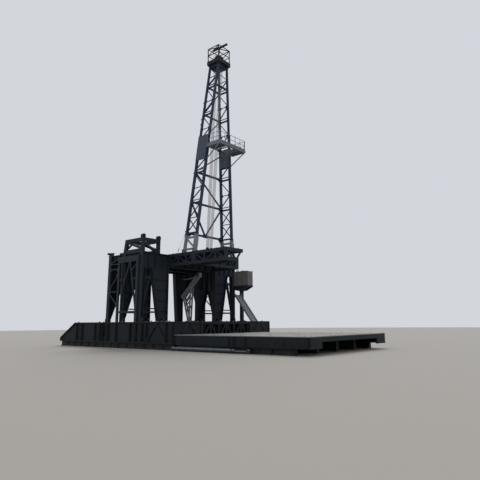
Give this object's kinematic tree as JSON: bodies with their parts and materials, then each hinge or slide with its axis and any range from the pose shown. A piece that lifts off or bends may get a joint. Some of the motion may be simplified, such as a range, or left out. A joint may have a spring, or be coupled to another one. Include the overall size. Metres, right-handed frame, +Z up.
{
  "type": "land drilling rig",
  "caption": "Land drilling rig with a leaning open-front mast on a trussed floor, carried by tapered portal legs on two long base boxes, and a low platform in front.",
  "frame": {"origin": "on the ground, at the middle of the bounding box's underside", "axes": "+X to the front, where the low platform lies; +Y to the rig's left; +Z up"},
  "size_m": [31.46, 14.162, 32.41],
  "materials": {
    "base_steel": "dark slate grey enamel, satin",
    "skid_steel": "dark grey enamel, dusty",
    "frame_steel": "dark blue-grey enamel, satin",
    "pale_post_paint": "mid grey enamel, satin",
    "deck_steel": "grey deck plate, worn",
    "bare_steel": "bare steel, oiled",
    "pale_paint": "light grey enamel, satin",
    "mast_paint": "dark navy enamel, satin",
    "wall_paint": "grey-blue enamel, satin",
    "board_paint": "grey enamel, satin",
    "crown_paint": "near-black enamel, satin",
    "deck_grey": "pale grey deck plate, dusty",
    "tank_paint": "beige-grey enamel, satin",
    "stand_paint": "navy blue enamel, satin"
  },
  "bodies": {
    "root": {"base_box_right": "base_steel", "base_box_left": "base_steel", "base_skids": "skid_steel", "foot_shoes": "frame_steel", "base_front_truss": "base_steel", "base_cross_beams": "base_steel", "portal_front_right": "frame_steel", "portal_front_left": "frame_steel", "portal_middle_right": "frame_steel", "portal_middle_left": "frame_steel", "portal_rear_right": "frame_steel", "portal_rear_left": "frame_steel", "leg_ties": "frame_steel", "side_lattice_right": "pale_post_paint", "side_lattice_left": "pale_post_paint", "side_tops": "frame_steel", "rear_stubs": "frame_steel", "raising_gantry_right": "frame_steel", "raising_gantry_left": "frame_steel", "cross_girders": "frame_steel", "floor_truss_right": "frame_steel", "floor_truss_left": "frame_steel", "floor_end_trusses": "frame_steel", "floor_wing": "frame_steel", "floor_beams": "frame_steel", "floor_deck": "deck_steel", "rotary_table": "bare_steel", "mast_feet": "pale_paint", "mast_side_right_lower": "mast_paint", "mast_side_left_lower": "mast_paint", "mast_side_right_upper": "mast_paint", "mast_side_left_upper": "mast_paint", "mast_back_lower": "mast_paint", "mast_back_upper": "mast_paint", "mast_front_ties": "mast_paint", "wind_walls": "wall_paint", "racking_board": "board_paint", "board_railing": "board_paint", "board_struts": "board_paint", "crown_platform": "crown_paint", "crown_sheaves": "crown_paint", "crown_frame": "crown_paint", "travelling_block": "crown_paint", "drilling_lines": "bare_steel", "platform_frame": "base_steel", "platform_deck": "deck_grey", "platform_skids": "skid_steel", "spare_struts": "pale_paint", "access_ramp": "pale_paint", "water_tank": "tank_paint", "tank_stand": "stand_paint", "raising_strut": "pale_paint"}
  },
  "joints": []
}
